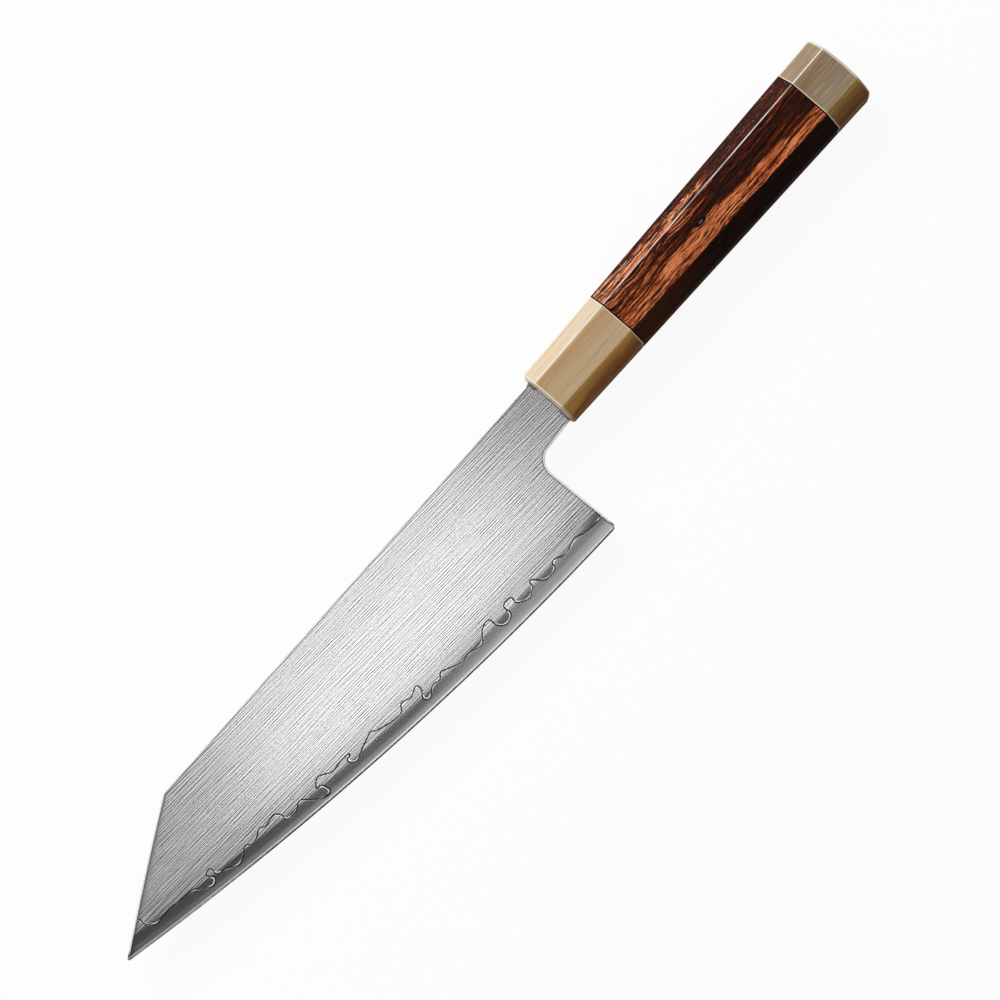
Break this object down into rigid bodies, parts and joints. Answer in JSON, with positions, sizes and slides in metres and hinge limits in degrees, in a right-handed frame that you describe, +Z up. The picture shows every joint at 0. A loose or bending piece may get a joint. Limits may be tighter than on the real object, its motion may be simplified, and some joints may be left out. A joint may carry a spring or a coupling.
{
  "type": "bunka knife",
  "caption": "Kitchen knife with a laminated, angled-tip blade and wavy lamination line, set by a hidden tang in an octagonal wooden handle with pale horn ferrule and end cap.",
  "frame": {"origin": "on the surface that the knife lies on, under the middle of its box", "axes": "+X along the handle's axis from tip to butt, +Y from the cutting edge to the spine, +Z up from the right face to the left face"},
  "size_m": [0.3364, 0.052, 0.0213],
  "materials": {
    "core_steel": "polished bevel with a honed edge",
    "cladding_steel": "hairline brushed along the blade",
    "seal_resin": "smooth cast resin",
    "ferrule_horn": "polished pale horn with faint streaks",
    "body_wood": "polished dark hardwood with orange figure",
    "cap_horn": "polished pale horn with faint streaks",
    "dowel_wood": "plain unfinished hardwood"
  },
  "bodies": {
    "root": {"blade_core": "core_steel", "cladding_left": "cladding_steel", "cladding_right": "cladding_steel", "tang_seal": "seal_resin", "ferrule": "ferrule_horn", "handle_body": "body_wood", "end_cap": "cap_horn", "tang_dowel": "dowel_wood", "cap_dowel": "dowel_wood"}
  },
  "joints": []
}
